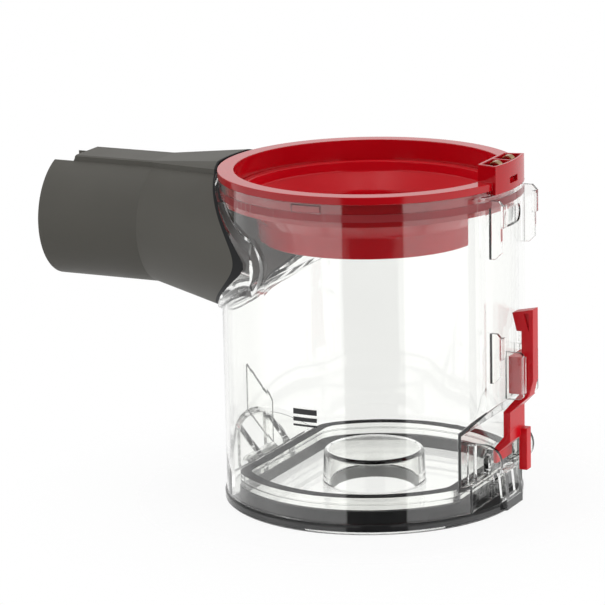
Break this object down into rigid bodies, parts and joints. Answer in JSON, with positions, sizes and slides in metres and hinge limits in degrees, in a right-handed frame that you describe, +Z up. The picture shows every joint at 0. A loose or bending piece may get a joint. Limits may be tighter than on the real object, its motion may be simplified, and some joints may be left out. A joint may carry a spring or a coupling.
{
  "type": "cyclone dust bin",
  "caption": "Clear round dust bin for a stick vacuum, with a flared side inlet, a collar with a scraper skirt, a hinged base and a sliding release runner.",
  "frame": {"origin": "on the bin's axis, in the plane of the base's underside, at the mouth of the round recess under the base", "axes": "+Z up along the bin's axis; the inlet duct points along -X; the release runner is on the +X side"},
  "size_m": [0.2069, 0.12, 0.1409],
  "materials": {
    "clear_plastic": "clear and polished",
    "duct_plastic": "satin warm dark grey",
    "black_rubber": "matt",
    "grey_rubber": "matt",
    "red_plastic": "polished red",
    "red_silicone": "satin red",
    "bronze_leaf": "plain spring bronze",
    "pin_steel": "plain"
  },
  "bodies": {
    "bin": {"bin_body": "clear_plastic", "inlet_duct": "duct_plastic", "duct_gasket": "black_rubber", "collar": "red_plastic", "collar_seal": "grey_rubber", "shroud_scraper": "red_silicone", "contact_spring_near": "bronze_leaf", "contact_spring_far": "bronze_leaf", "hinge_pin": "pin_steel"},
    "base": {"bin_base": "clear_plastic", "base_seal": "black_rubber"},
    "runner": {"release_runner": "red_plastic"}
  },
  "joints": [
    {"name": "base_hinge", "type": "hinge", "parent": "bin", "child": "base", "pos_m": [-0.052, 0, 0.009], "axis": [0, 1, 0], "range_deg": [0, 90]},
    {"name": "runner_slide", "type": "slide", "parent": "bin", "child": "runner", "axis": [0, 0, -1], "range_m": [0, 0.005]}
  ]
}
